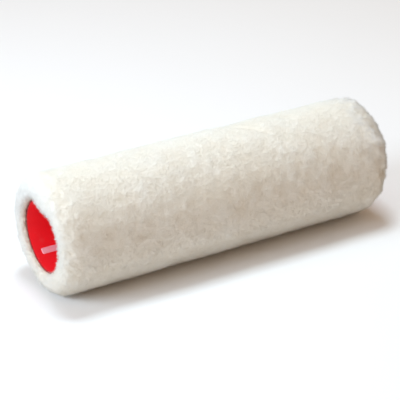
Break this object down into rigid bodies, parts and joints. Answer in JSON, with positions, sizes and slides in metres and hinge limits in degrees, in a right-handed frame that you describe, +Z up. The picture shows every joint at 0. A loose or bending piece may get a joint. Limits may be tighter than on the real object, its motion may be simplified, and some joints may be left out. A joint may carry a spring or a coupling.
{
  "type": "paint roller sleeve",
  "caption": "Cylindrical paint roller sleeve: thick rounded-end fleece bonded around an open red plastic core tube that slides over a roller cage.",
  "frame": {"origin": "centre of the flattened patch of fleece that the sleeve rests on, midway along its length", "axes": "+X along the sleeve's axis, away from the end with the printed bar in its bore; +Z up from the surface it lies on; +Y across it"},
  "size_m": [0.237, 0.077, 0.076],
  "materials": {
    "core_plastic": "moulded red polypropylene, semi-gloss",
    "print_ink": "thin pale ink on the red wall",
    "adhesive": "set amber glue film",
    "hide": "undyed cream backing, matt cut edge",
    "fleece": "dense creamy-white fleece, soft and matt"
  },
  "bodies": {
    "root": {"core_tube": "core_plastic", "core_print": "print_ink", "adhesive_layer": "adhesive", "hide_backing": "hide", "pile": "fleece"}
  },
  "joints": []
}
